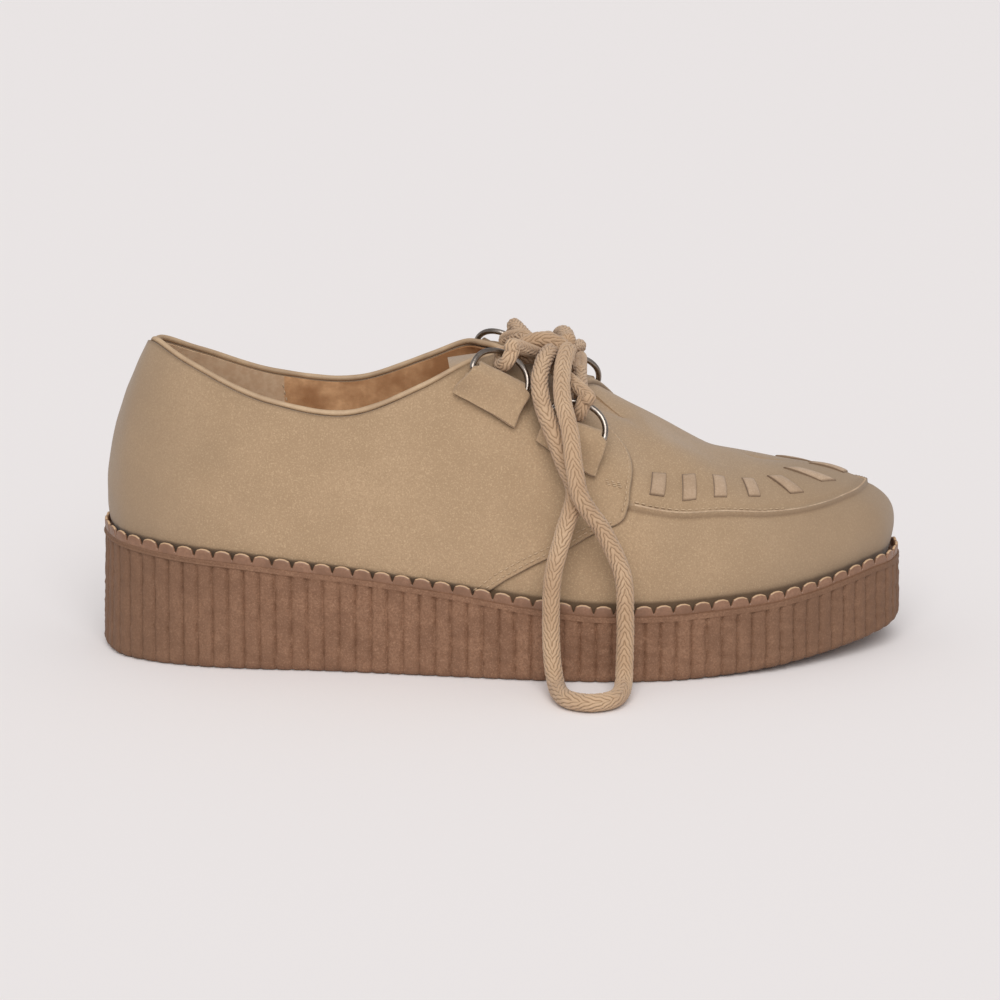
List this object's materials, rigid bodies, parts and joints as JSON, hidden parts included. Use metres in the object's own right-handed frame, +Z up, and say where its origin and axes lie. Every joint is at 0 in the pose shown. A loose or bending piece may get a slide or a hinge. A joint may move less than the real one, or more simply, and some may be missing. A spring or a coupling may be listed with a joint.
{
  "type": "lace-up creeper shoe",
  "caption": "Right-foot lace-up creeper: a hollow suede upper with a woven apron, D-ring lacing and a rope lace tied in a bow, on a thick ribbed platform sole with a notched rand.",
  "frame": {"origin": "on the floor, under the middle of the sole's length and width", "axes": "+X to the toe, +Y to the inner (medial) side of this right shoe, +Z up"},
  "size_m": [0.2899, 0.1411, 0.1155],
  "materials": {
    "sole": "matt grained mauve-brown rubber, glossier along the rand's tabs",
    "suede": "sand suede with a soft cloudy nap",
    "lining": "tan lining leather, satin, worn",
    "edging": "thin sand leather rolled over the collar, satin",
    "nickel": "bright nickel plate with fine scratches",
    "cotton": "undyed braided cotton rope, matt"
  },
  "bodies": {
    "root": {"outsole": "sole", "rand": "sole", "upper": "suede", "insole": "lining", "tongue": "suede", "collar_binding": "edging", "ring_tab_outer_upper": "suede", "ring_outer_upper": "nickel", "ring_tab_outer_lower": "suede", "ring_outer_lower": "nickel", "ring_tab_inner_upper": "suede", "ring_inner_upper": "nickel", "ring_tab_inner_lower": "suede", "ring_inner_lower": "nickel", "lace_crossings": "cotton", "lace_knot": "cotton", "lace_loop_outer": "cotton", "lace_loop_inner": "cotton"}
  },
  "joints": []
}
